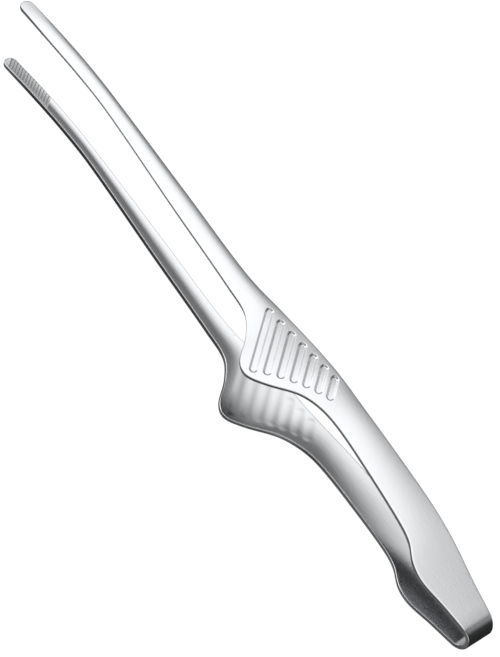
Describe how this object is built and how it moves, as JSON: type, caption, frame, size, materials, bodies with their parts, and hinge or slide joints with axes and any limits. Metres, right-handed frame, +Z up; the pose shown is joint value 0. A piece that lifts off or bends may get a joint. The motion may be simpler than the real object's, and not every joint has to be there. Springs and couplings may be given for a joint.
{
  "type": "stamp tongs",
  "caption": "Folded sheet-steel tongs with a springy bow, grooved side lobes for the fingers and slim arms ending in rounded serrated jaws.",
  "frame": {"origin": "centre of the base of the bounding box, on the plane that the lower arm's flat outer face lies on", "axes": "+X along the strip towards the bow, so the jaws point to -X; +Y across the strip, away from the finger lobes; +Z up, square to the lower arm's flat outer face"},
  "size_m": [0.155, 0.0166, 0.0182],
  "materials": {
    "satin_steel": "satin stainless steel, fine grain along the strip"
  },
  "bodies": {
    "bow": {"bow_spring": "satin_steel"},
    "upper_arm": {"upper_heel_plate": "satin_steel", "upper_handle": "satin_steel", "upper_finger_lobe": "satin_steel", "upper_shank": "satin_steel", "upper_jaw": "satin_steel"},
    "lower_arm": {"lower_heel_plate": "satin_steel", "lower_handle": "satin_steel", "lower_finger_lobe": "satin_steel", "lower_shank": "satin_steel", "lower_jaw": "satin_steel"}
  },
  "joints": [
    {"name": "upper_arm_squeeze", "type": "hinge", "parent": "bow", "child": "upper_arm", "pos_m": [0.07434, 0, 0.00763], "axis": [0, -1, 0], "range_deg": [0, 3.07], "stiffness_Nm_per_rad": 2, "deforming": ["bow_spring"]},
    {"name": "lower_arm_squeeze", "type": "hinge", "parent": "bow", "child": "lower_arm", "pos_m": [0.07434, 0, 0.00763], "axis": [0, 1, 0], "range_deg": [0, 3.07], "stiffness_Nm_per_rad": 2, "deforming": ["bow_spring"]}
  ],
  "couplings": [
    {"joint": "lower_arm_squeeze", "follows": "upper_arm_squeeze", "ratio": 1}
  ]
}
